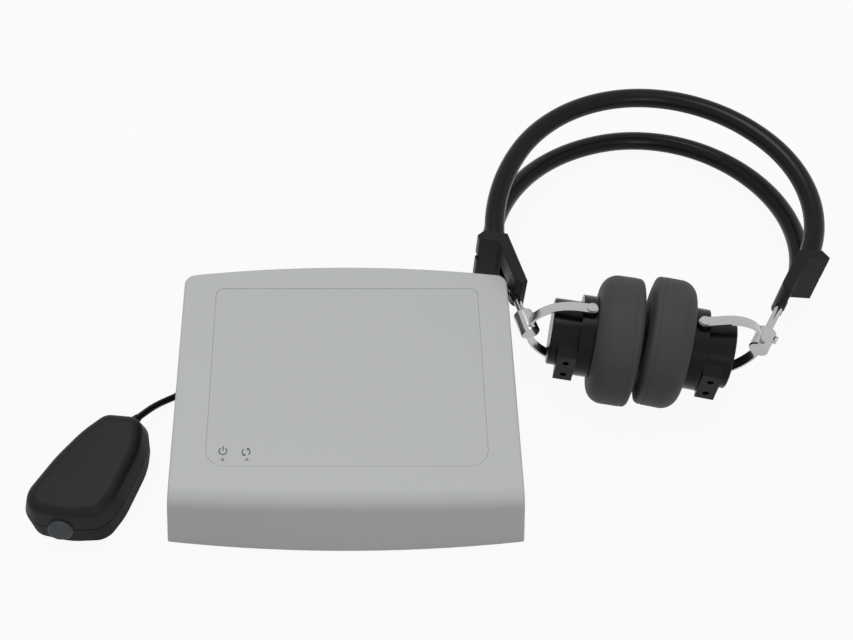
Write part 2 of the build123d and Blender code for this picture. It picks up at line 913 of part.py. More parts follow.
stations = [((-half_run, hank_radius, hank_bottom), (1.0, 0.0, 0.0))]
run_y = hank_radius
height = hank_bottom
fold_count = hank_turns * 2
for layer in range(hank_layers):
    inward = layer % 2 == 0
    last_height = height - hank_layer_step if layer else height
    stations += run_stations(1.0, run_y, last_height, height)
    for fold in range(fold_count):
        x_side = 1.0 if fold % 2 == 0 else -1.0
        steps = fold if inward else fold_count - 1 - fold
        radius = hank_radius - steps * hank_step / 2.0
        arc, run_y = fold_stations(x_side, run_y, radius, height)
        stations += arc
        if fold < fold_count - 1:
            stations += run_stations(-x_side, run_y, height, height)
    height += hank_layer_step
stations += run_stations(1.0, run_y, height - hank_layer_step, height - hank_layer_step)


# Joint of the two arcs that lead from one station to the next
def arc_joint(start, start_way, end, end_way):
    step = end - start
    both = start_way + end_way
    along = step.dot(both)
    spread = 2.0 * (1.0 - start_way.dot(end_way))
    if spread < 1e-9:
        reach = step.dot(step) / (4.0 * step.dot(end_way))
    else:
        reach = (math.sqrt(along ** 2 + spread * step.dot(step)) - along) / spread
    return (start + start_way * reach + end - end_way * reach) * 0.5


hank_middle = spot(hank_x, hank_y)
with BuildPart() as cord_hank:
    with BuildLine() as hank_line:
        for (start, start_way), (end, end_way) in zip(stations, stations[1:]):
            first = hank_middle + Vector(*start)
            last = hank_middle + Vector(*end)
            first_way = Vector(*start_way)
            joint = arc_joint(first, first_way, last, Vector(*end_way))
            arc = TangentArc(first, joint, tangent=first_way)
            TangentArc(joint, last, tangent=arc % 1)
    with BuildSketch(Plane(origin=hank_middle + Vector(*stations[0][0]), z_dir=(1, 0, 0))):
        Circle(cord_radius)
    sweep()
finish(cord_hank, "cord_hank")
hank_wire = hank_line.wires()[0]
print("hank length", round(hank_wire.length, 1), "volume share", round(
    cord_hank.part.volume / (hank_wire.length * math.pi * cord_radius ** 2), 4
))


# Headband
def tube_height(y, upper):
    end_height = headset_mid + (tube_spread if upper else -tube_spread)
    apex_height = upper_apex if upper else lower_apex
    return end_height + (apex_height - end_height) * (y - left_mouth[1]) / (apex_y - left_mouth[1])


def band_line(upper, seat):
    end_height = headset_mid + (tube_spread if upper else -tube_spread)
    start = spot(*left_mouth, end_height)
    arc_ends = upper_arc_ends if upper else lower_arc_ends
    stops = [spot(x, y, tube_height(y, upper)) for x, y in arc_ends]
    stops.append(spot(*right_mouth, end_height))
    turn = math.radians(left_heading)
    climb = (stops[0].Z - end_height) / (stops[0].Y - start.Y)
    way = Vector(math.cos(turn), math.sin(turn), climb).normalized()
    with BuildLine() as line:
        Line(start - way * seat, start)
        for stop in stops:
            arc = TangentArc(start, stop, tangent=way)
            way = arc % 1
            start = stop
        Line(start, start + way * seat)
    return line


def band_sweep(upper, seat, outer, inner):
    line = band_line(upper, seat)
    path = line.wires()[0]
    with BuildPart() as swept:
        with BuildLine():
            add(line.line)
        with BuildSketch(Plane(origin=path @ 0, z_dir=path % 0)):
            Circle(outer)
            if inner:
                Circle(inner, mode=Mode.SUBTRACT)
        sweep()
    return swept.part


def hinge_place(reach, angle):
    turn = math.radians(angle)
    return band_centre[0] + reach * math.cos(turn), band_centre[1] + reach * math.sin(turn)


# Upright plane through a hinge and the band's centre, facing along the band to the right
def hinge_plane(place, angle):
    turn = math.radians(angle)
    return Plane(origin=spot(*place), x_dir=(0, 0, 1), z_dir=(math.sin(turn), -math.cos(turn), 0.0))


left_hinge = hinge_place(left_hinge_reach, left_hinge_angle)
right_hinge = hinge_place(right_hinge_reach, right_hinge_angle)
left_cut = hinge_plane(left_hinge, left_hinge_angle)
right_cut = hinge_plane(right_hinge, right_hinge_angle)


def band_pieces(kind, seat, outer, inner):
    whole = [band_sweep(upper, seat, outer, inner) for upper in (True, False)]
    with BuildPart() as left_piece:
        add(whole)
        split(bisect_by=left_cut.offset(-hinge_gap / 2.0), keep=Keep.BOTTOM)
    finish(left_piece, "left_" + kind)
    with BuildPart() as crown_piece:
        add(whole)
        split(bisect_by=left_cut.offset(hinge_gap / 2.0), keep=Keep.TOP)
        split(bisect_by=right_cut.offset(-hinge_gap / 2.0), keep=Keep.BOTTOM)
    finish(crown_piece, "crown_" + kind)
    with BuildPart() as right_piece:
        add(whole)
        split(bisect_by=right_cut.offset(hinge_gap / 2.0), keep=Keep.TOP)
    finish(right_piece, "right_" + kind)


band_pieces("tubes", tube_seat, tube_radius, wire_radius + wire_gap)
band_pieces("wires", wire_seat, wire_radius, 0.0)
socket_forms = [band_sweep(upper, tube_seat, tube_radius + wire_gap, 0.0) for upper in (True, False)]
wire_forms = [band_sweep(upper, wire_seat, wire_radius + wire_gap, 0.0) for upper in (True, False)]


# One end of the headband: bracket, bush, rod, swivel end, yoke, pivots and earphone
def headset_end(name, side):
    out = side["out"]
    mouth_x, mouth_y = side["mouth"]
    swing = math.radians(bracket_angle - side["arm_angle"])
    outward = (out * math.cos(swing), math.sin(swing))
    forward = (out * math.sin(swing), -math.cos(swing))
    lean = math.radians(bracket_angle)
    half_arm = arm_width / 2.0

    def on_bracket(across, ahead):
        x = mouth_x + outward[0] * across + forward[0] * ahead
        y = mouth_y + outward[1] * across + forward[1] * ahead
        return x, y

    def on_arm(along, aside):
        across = -arm_offset - along * math.sin(lean) + aside * math.cos(lean)
        ahead = along * math.cos(lean) + aside * math.sin(lean)
        return on_bracket(across, ahead)

    inner_start = -arm_offset - half_arm / math.cos(lean)
    hollow_across = -arm_offset + half_arm / math.cos(lean) - bracket_depth * math.tan(lean)
    inner_stop = inner_start - bracket_depth * math.tan(lean)
    reach = side["arm_reach"]
    head = [on_bracket(inner_start, 0.0), on_bracket(bracket_outer, 0.0)]
    head += [on_bracket(*point) for point in hook_points]
    hollow = on_bracket(hollow_across, bracket_depth)
    arm = [on_arm(reach, half_arm), on_arm(reach, -half_arm)]
    arm_way = Vector(*on_arm(overrun, 0.0)) - Vector(*on_arm(0.0, 0.0))
    side_way = Vector(*on_arm(0.0, overrun)) - Vector(*on_arm(0.0, 0.0))

    def rod_plane(along):
        return Plane(
            origin=spot(*on_arm(along, rod_offset), headset_mid), x_dir=(0, 0, 1), z_dir=arm_way
        )

    with BuildPart() as bracket:
        with BuildSketch(level(headset_mid - arm_bottom_below)) as arm_outline:
            with BuildLine():
                Polyline(*head, hollow, *arm, close=True)
            make_face()
            hollow_spot = level(0.0).from_local_coords(Vector(*hollow))
            corner = arm_outline.vertices().sort_by_distance(hollow_spot)[0]
            fillet(corner, bracket_hollow_radius)
        extrude(amount=arm_bottom_below + crossbar_half_height)
        with BuildSketch(level(headset_mid - crossbar_half_height)):
            with BuildLine():
                Polyline(*head, hollow, on_bracket(inner_stop, bracket_depth), close=True)
            make_face()
        extrude(amount=crossbar_half_height * 2.0)
        chamfer(bracket.edges().group_by(Axis.Z)[-1], bracket_edge)
        with BuildSketch(level(headset_mid - notch_half_height)):
            with BuildLine():
                Polyline(
                    on_bracket(notch_start, -overrun),
                    on_bracket(notch_start + bracket_depth, -overrun),
                    on_bracket(notch_start + bracket_depth, bracket_depth + overrun),
                    on_bracket(notch_start, bracket_depth + overrun),
                    close=True,
                )
            make_face()
        extrude(amount=notch_half_height * 2.0, mode=Mode.SUBTRACT)
        with BuildSketch(level(headset_mid - channel_half_height)):
            with BuildLine():
                Polyline(
                    on_arm(channel_start, channel_floor - half_arm),
                    on_arm(reach - bush_length, channel_floor - half_arm),
                    on_arm(reach - bush_length, half_arm + overrun),
                    on_arm(channel_start, half_arm + overrun),
                    close=True,
                )
            make_face()
        extrude(amount=channel_half_height * 2.0, mode=Mode.SUBTRACT)
        with BuildSketch(rod_plane(-bracket_depth)):
            Circle(rod_radius + rod_gap)
        extrude(amount=reach + bracket_depth * 2.0, mode=Mode.SUBTRACT)
        with BuildSketch(rod_plane(reach - bush_length)):
            Circle(bush_radius + rod_gap)
        extrude(amount=bush_length + overrun, mode=Mode.SUBTRACT)
        add(socket_forms, mode=Mode.SUBTRACT)
        add(wire_forms, mode=Mode.SUBTRACT)
    finish(bracket, name + "_bracket")

    with BuildPart() as bush:
        with BuildSketch(rod_plane(reach - bush_length)):
            Circle(bush_radius)
            Circle(rod_radius + rod_gap, mode=Mode.SUBTRACT)
        extrude(amount=bush_length)
    finish(bush, name + "_bush")

    end_middle = reach + side["rod_out"]
    bore_end = end_middle - end_back + end_bore_depth
    with BuildPart() as rod:
        with BuildSketch(rod_plane(reach - rod_tail)):
            Circle(rod_radius)
        extrude(amount=bore_end - end_gap - reach + rod_tail)
        chamfer(rod.edges(), end_gap)
    finish(rod, name + "_rod")

    pivot = spot(*side["pivot"], headset_mid)
    block_middle = spot(*on_arm(end_middle, rod_offset), headset_mid)
    yoke_reach = (block_middle - pivot).length
    yoke_way = (block_middle - pivot).normalized()
    yoke_plane = Plane(origin=pivot, x_dir=yoke_way, z_dir=yoke_way.cross(Vector(0, 0, 1)))

    def yoke_form(gap):
        straight = yoke_reach - yoke_radius
        outer = yoke_radius + yoke_thickness / 2.0 + gap
        inner = yoke_radius - yoke_thickness / 2.0 - gap
        with BuildPart() as form:
            with BuildSketch(yoke_plane):
                with BuildLine():
                    Line((-yoke_tip, outer), (straight, outer))
                    ThreePointArc((straight, outer), (straight + outer, 0.0), (straight, -outer))
                    Line((straight, -outer), (-yoke_tip, -outer))
                    Line((-yoke_tip, -outer), (-yoke_tip, -inner))
                    Line((-yoke_tip, -inner), (straight, -inner))
                    ThreePointArc((straight, -inner), (straight + inner, 0.0), (straight, inner))
                    Line((straight, inner), (-yoke_tip, inner))
                    Line((-yoke_tip, inner), (-yoke_tip, outer))
                make_face()
            extrude(amount=yoke_width / 2.0 + gap, both=True)
        return form.part

    screw_plane = Plane(
        origin=spot(*on_arm(end_middle - end_back + end_bore_depth / 2.0, rod_offset), headset_mid),
        x_dir=(0, 0, 1), z_dir=side_way * side["screw_side"],
    )
    with BuildPart() as rod_end:
        with BuildSketch(rod_plane(end_middle - end_back)):
            Circle(end_radius)
        extrude(amount=end_back + end_front)
        chamfer(rod_end.edges(), end_chamfer)
        with BuildSketch(rod_plane(end_middle - end_back)):
            Circle(rod_radius + rod_gap)
        extrude(amount=end_bore_depth, mode=Mode.SUBTRACT)
        add(yoke_form(yoke_gap), mode=Mode.SUBTRACT)
        with BuildSketch(screw_plane):
            Circle(end_screw_radius + rod_gap)
        extrude(amount=end_radius + overrun, mode=Mode.SUBTRACT)
    finish(rod_end, name + "_rod_end")

    with BuildPart() as rod_screw:
        with BuildSketch(screw_plane.offset(rod_radius + rod_gap)):
            Circle(end_screw_radius)
        extrude(amount=end_radius - rod_radius)
        with BuildSketch(screw_plane.offset(end_radius)):
            Circle(end_screw_head_radius)
        extrude(amount=end_screw_head_height)
    finish(rod_screw, name + "_rod_screw")

    pin_places = [(pivot + Vector(0, 0, up * yoke_radius), up) for up in (-1.0, 1.0)]
    with BuildPart() as yoke:
        add(yoke_form(0.0))
        fillet(yoke.edges().filter_by(Axis.Z), yoke_width / 2.0 - yoke_gap)
        with BuildSketch(Plane(origin=pivot)):
            Circle(pin_radius + pin_gap)
        extrude(amount=yoke_radius * 2.0, both=True, mode=Mode.SUBTRACT)
    finish(yoke, name + "_yoke")

    with BuildPart() as pins:
        for place, up in pin_places:
            outside = Plane(origin=place, z_dir=(0, 0, up)).offset(yoke_thickness / 2.0)
            with BuildSketch(outside):
                Circle(pin_head_radius)
            extrude(amount=pin_head_height)
            with BuildSketch(outside):
                Circle(pin_radius)
            extrude(amount=-(yoke_radius + yoke_thickness / 2.0 - pivot_pad_reach + pin_depth))
    finish(pins, name + "_pins")

    yaw = math.radians(side["yaw"])
    facing = Vector(-out * math.cos(yaw), math.sin(yaw), 0.0)
    profile_plane = Plane(origin=pivot, x_dir=facing, z_dir=facing.cross(Vector(0, 0, 1)))
    ear_axis = Axis(pivot, facing)
    front_way = Vector(-out * math.sin(yaw), -math.cos(yaw), 0.0)
    terminal_plane = Plane(origin=pivot + facing * terminal_shift, x_dir=facing, z_dir=front_way)

    def terminal_box(gap):
        with BuildPart() as box:
            with BuildSketch(terminal_plane.offset(terminal_root)):
                Rectangle(terminal_width + gap * 2.0, terminal_height + gap * 2.0)
            extrude(amount=terminal_reach - terminal_root)
        return box.part

    back_end = -case_half - case_back_length
    neck_end = case_half + neck_length
    with BuildPart() as case:
        with BuildSketch(profile_plane):
            with BuildLine():
                Polyline(
                    (back_end, case_back_radius - case_wall),
                    (back_end, case_back_radius),
                    (-case_half, case_back_radius),
                    (-case_half, case_radius),
                    (case_half, case_radius),
                    (case_half, neck_radius),
                    (neck_end, neck_radius),
                    (neck_end, sound_hole),
                    (neck_end - case_front_wall, sound_hole),
                    (neck_end - case_front_wall, neck_radius - case_wall),
                    (case_half - case_wall, neck_radius - case_wall),
                    (case_half - case_wall, case_radius - case_wall),
                    (case_wall - case_half, case_radius - case_wall),
                    (case_wall - case_half, case_back_radius - case_wall),
                    close=True,
                )
            make_face()
        revolve(axis=ear_axis)
        for up in (-1.0, 1.0):
            with BuildSketch(Plane(origin=pivot, z_dir=(0, 0, up)).offset(case_radius - case_wall / 2.0)):
                Circle(pivot_pad_radius)
            extrude(amount=pivot_pad_reach - case_radius + case_wall / 2.0)
            with BuildSketch(Plane(origin=pivot, z_dir=(0, 0, up)).offset(pivot_pad_reach)):
                Circle(pin_radius + pin_gap)
            extrude(amount=-(pin_depth + pin_gap), mode=Mode.SUBTRACT)
        add(terminal_box(terminal_gap), mode=Mode.SUBTRACT)
    finish(case, name + "_case")

    with BuildPart() as terminals:
        add(terminal_box(0.0))
        with BuildSketch(terminal_plane.offset(terminal_reach)):
            with GridLocations(0.0, terminal_pitch, 1, 2):
                Circle(terminal_bore)
        extrude(amount=-terminal_bore_depth, mode=Mode.SUBTRACT)
    finish(terminals, name + "_terminals")

    with BuildPart() as back_cap:
        with BuildSketch(profile_plane):
            with BuildLine():
                Polyline(
                    (back_end - cap_height, 0.0),
                    (back_end - cap_height, case_back_radius - cap_edge),
                    (back_end - cap_height + cap_edge, case_back_radius),
                    (back_end, case_back_radius),
                    (back_end, case_back_radius - case_wall - cap_gap),
                    (back_end + cap_height, case_back_radius - case_wall - cap_gap),
                    (back_end + cap_height, 0.0),
                    close=True,
                )
            make_face()
        revolve(axis=ear_axis)
    finish(back_cap, name + "_back_cap")

    plate_front = neck_end - case_front_wall
    plate_radius = neck_radius - case_wall - driver_gap
    with BuildPart() as driver:
        with BuildSketch(profile_plane):
            with BuildLine():
                Polyline(
                    (plate_front, sound_hole),
                    (plate_front, plate_radius),
                    (plate_front - driver_plate, plate_radius),
                    (plate_front - driver_plate, magnet_radius),
                    (plate_front - driver_plate - magnet_height, magnet_radius),
                    (plate_front - driver_plate - magnet_height, 0.0),
                    (plate_front - driver_plate, 0.0),
                    (plate_front - driver_plate, sound_hole),
                    close=True,
                )
            make_face()
        revolve(axis=ear_axis)
    finish(driver, name + "_driver")

    face = cushion_back + cushion_thickness
    seat_end = neck_end + head_clearance
    rim = face - cushion_lip
    back_mid = cushion_back_round * (1.0 - math.sqrt(0.5))
    front_mid = cushion_front_round * (1.0 - math.sqrt(0.5))
    rim_radius_front = cushion_radius - cushion_front_round
    with BuildPart() as cushion:
        with BuildSketch(profile_plane):
            with BuildLine():
                Line(
                    (cushion_back, neck_radius + neck_gap),
                    (cushion_back, cushion_radius - cushion_back_round),
                )
                ThreePointArc(
                    (cushion_back, cushion_radius - cushion_back_round),
                    (cushion_back + back_mid, cushion_radius - back_mid),
                    (cushion_back + cushion_back_round, cushion_radius),
                )
                Line(
                    (cushion_back + cushion_back_round, cushion_radius),
                    (rim - cushion_front_round, cushion_radius),
                )
                ThreePointArc(
                    (rim - cushion_front_round, cushion_radius),
                    (rim - front_mid, cushion_radius - front_mid),
                    (rim, rim_radius_front),
                )
                ThreePointArc(
                    (rim, rim_radius_front),
                    (rim + cushion_lip * crown_share, (rim_radius_front + cushion_crown_radius) / 2.0),
                    (face, cushion_crown_radius),
                )
                mouth_mid = (cushion_crown_radius + cushion_hole) / 2.0
                ThreePointArc(
                    (face, cushion_crown_radius),
                    (face - cushion_mouth_drop / 4.0, mouth_mid),
                    (face - cushion_mouth_drop, cushion_hole),
                )
                Polyline(
                    (face - cushion_mouth_drop, cushion_hole),
                    (seat_end, cushion_hole),
                    (seat_end, neck_radius + neck_gap),
                    (cushion_back, neck_radius + neck_gap),
                )
            make_face()
        revolve(axis=ear_axis)
    finish(cushion, name + "_cushion")


for side_name, side_values in sides.items():
    headset_end(side_name, side_values)

# Tie round the hank's waist: it lies on the table, and the hank lies on its lower strip
tie_inner_half = hank_radius - hank_waist + cord_radius + tie_gap
hank_top = hank_bottom + hank_layer_step * (hank_layers - 1) + hank_rise + cord_radius
tie_inner_top = hank_top + tie_gap
tie_inner_radius = cord_radius + tie_gap
with BuildPart() as hank_tie:
    tie_plane = Plane(
        origin=spot(hank_x - tie_width / 2.0, hank_y, (tie_inner_top + tie_thickness) / 2.0),
        x_dir=(0, 1, 0), z_dir=(1, 0, 0),
    )
    with BuildSketch(tie_plane):
        RectangleRounded(
            (tie_inner_half + tie_thickness) * 2.0, tie_inner_top + tie_thickness,
            tie_inner_radius + tie_thickness,
        )
        RectangleRounded(
            tie_inner_half * 2.0, tie_inner_top - tie_thickness, tie_inner_radius,
            mode=Mode.SUBTRACT,
        )
    extrude(amount=tie_width)
finish(hank_tie, "hank_tie")

# Plug in the response socket: pin, body and the neck that the cord enters
plug_face_y = base_back_y - base_wall + jack_nose_length
with BuildPart() as response_plug:
    plug_plane = Plane(
        origin=spot(jack_x[0], plug_face_y + plug_gap, jack_height), x_dir=(-1, 0, 0), z_dir=(0, 1, 0)
    )
    plug_length = tail_way[-1][1] - plug_neck_length - plug_face_y - plug_gap
    with BuildSketch(plug_plane):
        Circle(plug_radius)
    extrude(amount=plug_length)
    chamfer(response_plug.edges(), bracket_edge)
    with BuildSketch(plug_plane):
        Circle(plug_pin_radius)
    extrude(amount=-plug_pin_length)
    with BuildSketch(plug_plane.offset(plug_length)):
        Circle(plug_neck_radius)
    extrude(amount=plug_neck_length)
finish(response_plug, "response_plug")


# Least gap of the hank to itself, on points a third of the cord's radius apart
def hank_gap():
    step = cord_radius / 3.0
    count = int(hank_wire.length / step)
    points = [hank_wire.position_at(index / count) for index in range(count + 1)]
    skip = int(cord_radius * 4.0 / step)
    cell = cord_radius * 3.0
    cells = {}
    for index, point in enumerate(points):
        key = (int(point.X // cell), int(point.Y // cell), int(point.Z // cell))
        cells.setdefault(key, []).append(index)
    least = hank_run
    for (i, j, k), members in cells.items():
        near = [
            other
            for di in (-1, 0, 1) for dj in (-1, 0, 1) for dk in (-1, 0, 1)
            for other in cells.get((i + di, j + dj, k + dk), [])
        ]
        for index in members:
            for other in near:
                if other - index > skip:
                    least = min(least, (points[index] - points[other]).length)
    return least - cord_radius * 2.0


print("hank least gap to itself", round(hank_gap(), 2))
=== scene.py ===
import bpy
import bmesh
import math
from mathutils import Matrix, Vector, noise


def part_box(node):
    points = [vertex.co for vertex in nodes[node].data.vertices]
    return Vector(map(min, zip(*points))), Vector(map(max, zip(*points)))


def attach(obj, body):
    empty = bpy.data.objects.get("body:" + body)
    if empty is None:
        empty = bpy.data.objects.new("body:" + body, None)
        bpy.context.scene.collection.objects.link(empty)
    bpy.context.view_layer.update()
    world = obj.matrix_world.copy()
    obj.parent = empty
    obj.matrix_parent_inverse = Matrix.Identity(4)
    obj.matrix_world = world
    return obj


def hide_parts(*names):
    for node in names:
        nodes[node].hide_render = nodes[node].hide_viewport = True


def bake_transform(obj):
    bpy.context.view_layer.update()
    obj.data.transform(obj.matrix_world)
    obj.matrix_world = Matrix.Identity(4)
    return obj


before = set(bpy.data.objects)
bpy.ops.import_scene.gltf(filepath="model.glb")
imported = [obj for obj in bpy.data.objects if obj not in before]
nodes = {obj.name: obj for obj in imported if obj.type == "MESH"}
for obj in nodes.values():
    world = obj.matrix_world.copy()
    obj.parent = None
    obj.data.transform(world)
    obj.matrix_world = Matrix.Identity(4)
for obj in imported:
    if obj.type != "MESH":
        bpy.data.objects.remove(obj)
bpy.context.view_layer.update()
print("frame loaded with", len(nodes), "nodes")

# Places are given in millimetres from the flat unit's own centre on the table, as in the CAD
unitCentre = Vector((-0.04984, -0.06145, 0.0))
mm = 0.001


def spot(x, y, z=0.0):
    return unitCentre + Vector((x, y, z)) * mm


# A new object in the scene, holding a camera, lamp, curve or mesh
def addObject(name, data):
    made = bpy.data.objects.new(name, data)
    bpy.context.scene.collection.objects.link(made)
    return made


# Camera: the whole table top seen from in front and above
view = {
    "place": (0.0, -336.1, 594.0), "lookDown": 56.0, "lens": 55.7, "sensor": 36.0, "shift": 0.0944,
}
cameraData = bpy.data.cameras.new("camera")
cameraData.lens = view["lens"]
cameraData.sensor_width = view["sensor"]
cameraData.shift_x = view["shift"]
camera = addObject("camera", cameraData)
camera.location = spot(*view["place"])
camera.rotation_euler = (math.radians(90.0 - view["lookDown"]), 0.0, 0.0)
bpy.context.scene.camera = camera
print("camera placed")

# Cord of the hand switch: out of the relief, into the hank behind the unit, and on to its plug
cord = {
    "radius": 1.75,
    "lift": 0.05,  # of the lowest layer over the table
    "length": 1.69,  # in metres
    "roundness": 5,
    "smoothness": 6,
    "way": (
        (-105.2, -3.6, 12.6), (-101.9, 1.2, 10.4), (-97.4, 7.6, 6.4), (-92.8, 12.4, 3.0),
        (-86.6, 16.4, 1.8), (-83.0, 23.6, 1.8), (-81.7, 35.0, 1.8), (-82.1, 50.0, 1.8),
        (-80.2, 63.0, 1.8), (-73.0, 74.2, 1.8), (-59.5, 80.8, 1.8), (-42.0, 80.8, 1.8),
    ),
    "tail": (
        (12.0, 80.8, 14.1), (18.0, 80.8, 14.1), (26.5, 80.3, 14.8), (33.0, 75.3, 16.8),
        (35.0, 67.5, 19.1), (35.0, 62.0, 19.1),
    ),
}
hank = {
    "centre": (-15.0, 65.8), "run": 54.0, "radius": 15.0, "step": 4.3, "layerStep": 4.1,
    "turns": 2, "layers": 4, "waist": 4.5, "rise": 1.0, "foldPoints": 6,
    "runEnd": 0.75, "runMiddle": 0.25,  # where a run's points lie, as shares of its half
}


# The hank's turns as more points of the cord's spline: six round each fold, four along each run
def hankPoints():
    half = hank["run"] / 2.0
    points = []

    def run(xSide, y, fromHeight, toHeight):
        end = xSide * half * hank["runEnd"]
        middle = xSide * half * hank["runMiddle"]
        waistY = y - math.copysign(hank["waist"], y)
        waistHeight = (fromHeight + toHeight) / 2.0 + hank["rise"]
        points.append((-end, y, fromHeight))
        points.append((-middle, waistY, waistHeight))
        points.append((middle, waistY, waistHeight))
        points.append((end, y, toHeight))

    def fold(xSide, startY, radius, height):
        count = hank["foldPoints"]
        outer = radius / math.cos(math.pi / count / 2.0)
        for place in range(count):
            angle = math.pi * (0.5 - (place + 0.5) / count)
            x = xSide * (half + outer * math.cos(angle))
            y = startY - xSide * radius + xSide * outer * math.sin(angle)
            points.append((x, y, height))
        return startY - xSide * radius * 2.0

    y = hank["radius"]
    height = cord["radius"] + cord["lift"]
    lastHeight = height
    folds = hank["turns"] * 2
    for layer in range(hank["layers"]):
        run(1.0, y, lastHeight, height)
        for place in range(folds):
            xSide = 1.0 if place % 2 == 0 else -1.0
            steps = place if layer % 2 == 0 else folds - 1 - place
            y = fold(xSide, y, hank["radius"] - steps * hank["step"] / 2.0, height)
            if place < folds - 1:
                run(-xSide, y, height, height)
        lastHeight = height
        height += hank["layerStep"]
    run(1.0, y, lastHeight, lastHeight)
    middleX, middleY = hank["centre"]
    return [(x + middleX, y + middleY, z) for x, y, z in points]


def makeCord():
    points = [*cord["way"], *hankPoints(), *cord["tail"]]
    curve = bpy.data.curves.new("switchCord", "CURVE")
    curve.dimensions = "3D"
    curve.bevel_depth = 1.0  # times each point's own radius
    curve.bevel_resolution = cord["roundness"]
    curve.resolution_u = cord["smoothness"]
    curve.use_fill_caps = True
    line = curve.splines.new("NURBS")
    line.points.add(len(points) - 1)
    for slot, point in zip(line.points, points):
        slot.co = (*spot(*point), 1.0)
        slot.radius = cord["radius"] * mm
    line.order_u = 3
    line.use_endpoint_u = True
    piece = addObject("switchCord", curve)
    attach(piece, "audiometer")
    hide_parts("cord_run", "cord_hank", "cord_tail")
    return piece


switchCord = makeCord()
print("cord laid and wound")


# Shader maths: a wrapped socket that takes the usual operators
class Value:
    def __init__(self, bench, socket):
        self.bench = bench
        self.socket = socket

    # Another output of the node that gave this value
    def beside(self, output):
        return Value(self.bench, self.socket.node.outputs[output])

    def __add__(self, other):
        return self.bench.maths("ADD", self, other)

    def __radd__(self, other):
        return self.bench.maths("ADD", other, self)

    def __sub__(self, other):
        return self.bench.maths("SUBTRACT", self, other)

    def __rsub__(self, other):
        return self.bench.maths("SUBTRACT", other, self)

    def __mul__(self, other):
        return self.bench.maths("MULTIPLY", self, other)

    def __rmul__(self, other):
        return self.bench.maths("MULTIPLY", other, self)


# The nodes of one material or of the world
class Bench:
    def __init__(self, owner):
        self.owner = owner
        owner.use_nodes = True
        self.tree = owner.node_tree
        self.tree.nodes.clear()

    # Any node: its settings first, then the values or links of its sockets
    def node(self, kind, settings=None, inputs=None, output=0):
        made = self.tree.nodes.new(kind)
        for name, value in (settings or {}).items():
            setattr(made, name, value)
        for name, value in (inputs or {}).items():
            if isinstance(value, Value):
                self.tree.links.new(value.socket, made.inputs[name])
            else:
                made.inputs[name].default_value = value
        return Value(self, made.outputs[output]) if made.outputs else None

    def maths(self, operation, first, second):
        return self.node("ShaderNodeMath", {"operation": operation}, {0: first, 1: second})

    def place(self):
        return self.node("ShaderNodeTexCoord", output="Object")

    def noise(self, scale, detail=3.0, roughness=0.5):
        sockets = {"Vector": self.place(), "Scale": scale, "Detail": detail, "Roughness": roughness}
        return self.node("ShaderNodeTexNoise", inputs=sockets)

    # Two colours mixed: 6 and 7 are the node's colour inputs, and 2 is its colour output
    def mixColour(self, factor, first, second):
        sockets = {"Factor": factor, 6: first, 7: second}
        return self.node("ShaderNodeMix", {"data_type": "RGBA"}, sockets, output=2)

    def bump(self, height, strength, depth):
        sockets = {"Strength": strength, "Distance": depth, "Height": height}
        return self.node("ShaderNodeBump", inputs=sockets)

    def finish(self, shader):
        self.node("ShaderNodeOutputMaterial", inputs={"Surface": shader})
        return self.owner

    def principled(self, sockets):
        return self.finish(self.node("ShaderNodeBsdfPrincipled", inputs=sockets))


def newBench(name):
    return Bench(bpy.data.materials.new(name))


def tint(colour, share):
    return (*[min(1.0, part * share) for part in colour], 1.0)


# What all moulded and rubber surfaces share; rubFrom and rubFull are an edge's pointiness
mouldedLook = {
    "cloudDetail": 4.0, "grainDetail": 2.0, "grainRoughness": 0.6, "grainStrength": 0.5,
    "glossSwing": 0.12, "rubFrom": 0.52, "rubFull": 0.6, "rubPaleness": 2.2,
}


# A moulded or rubber surface: fine grain, soft cloudiness of colour and gloss, paler where rubbed
def mouldedFinish(
    name, colour, roughness, grain=1500.0, grainDepth=0.00003, cloud=0.05, gloss=0.25, sheen=0.0,
    rub=0.0, cloudScale=35.0,
):
    look = mouldedLook
    bench = newBench(name)
    clouds = bench.noise(cloudScale, look["cloudDetail"])
    fine = bench.noise(grain, look["grainDetail"], look["grainRoughness"])
    shade = bench.mixColour(clouds, tint(colour, 1.0 - cloud), tint(colour, 1.0 + cloud))
    if rub:
        edges = bench.node("ShaderNodeNewGeometry", output="Pointiness")
        worn = bench.node("ShaderNodeMapRange", inputs={
            "Value": edges, "From Min": look["rubFrom"], "From Max": look["rubFull"], "To Max": rub,
        })
        shade = bench.mixColour(worn * clouds, shade, tint(colour, look["rubPaleness"]))
    swing = look["glossSwing"]
    return bench.principled({
        "Base Color": shade, "Roughness": roughness - swing / 2.0 + clouds * swing,
        "Specular IOR Level": gloss, "Sheen Weight": sheen,
        "Normal": bench.bump(fine, look["grainStrength"], grainDepth),
    })


metalLook = {
    "grain": 900.0, "grainDetail": 2.0, "grainRoughness": 0.6, "grainStrength": 0.3,
    "grainDepth": 0.00001, "cloudScale": 60.0, "darkest": 0.94, "palest": 1.04, "smoothest": 0.7,
    "glossSwing": 0.6,
}


def metalFinish(name, colour, roughness):
    look = metalLook
    bench = newBench(name)
    clouds = bench.noise(look["cloudScale"])
    fine = bench.noise(look["grain"], look["grainDetail"], look["grainRoughness"])
    shade = bench.mixColour(clouds, tint(colour, look["darkest"]), tint(colour, look["palest"]))
    return bench.principled({
        "Base Color": shade, "Metallic": 1.0,
        "Roughness": roughness * look["smoothest"] + clouds * roughness * look["glossSwing"],
        "Normal": bench.bump(fine, look["grainStrength"], look["grainDepth"]),
    })


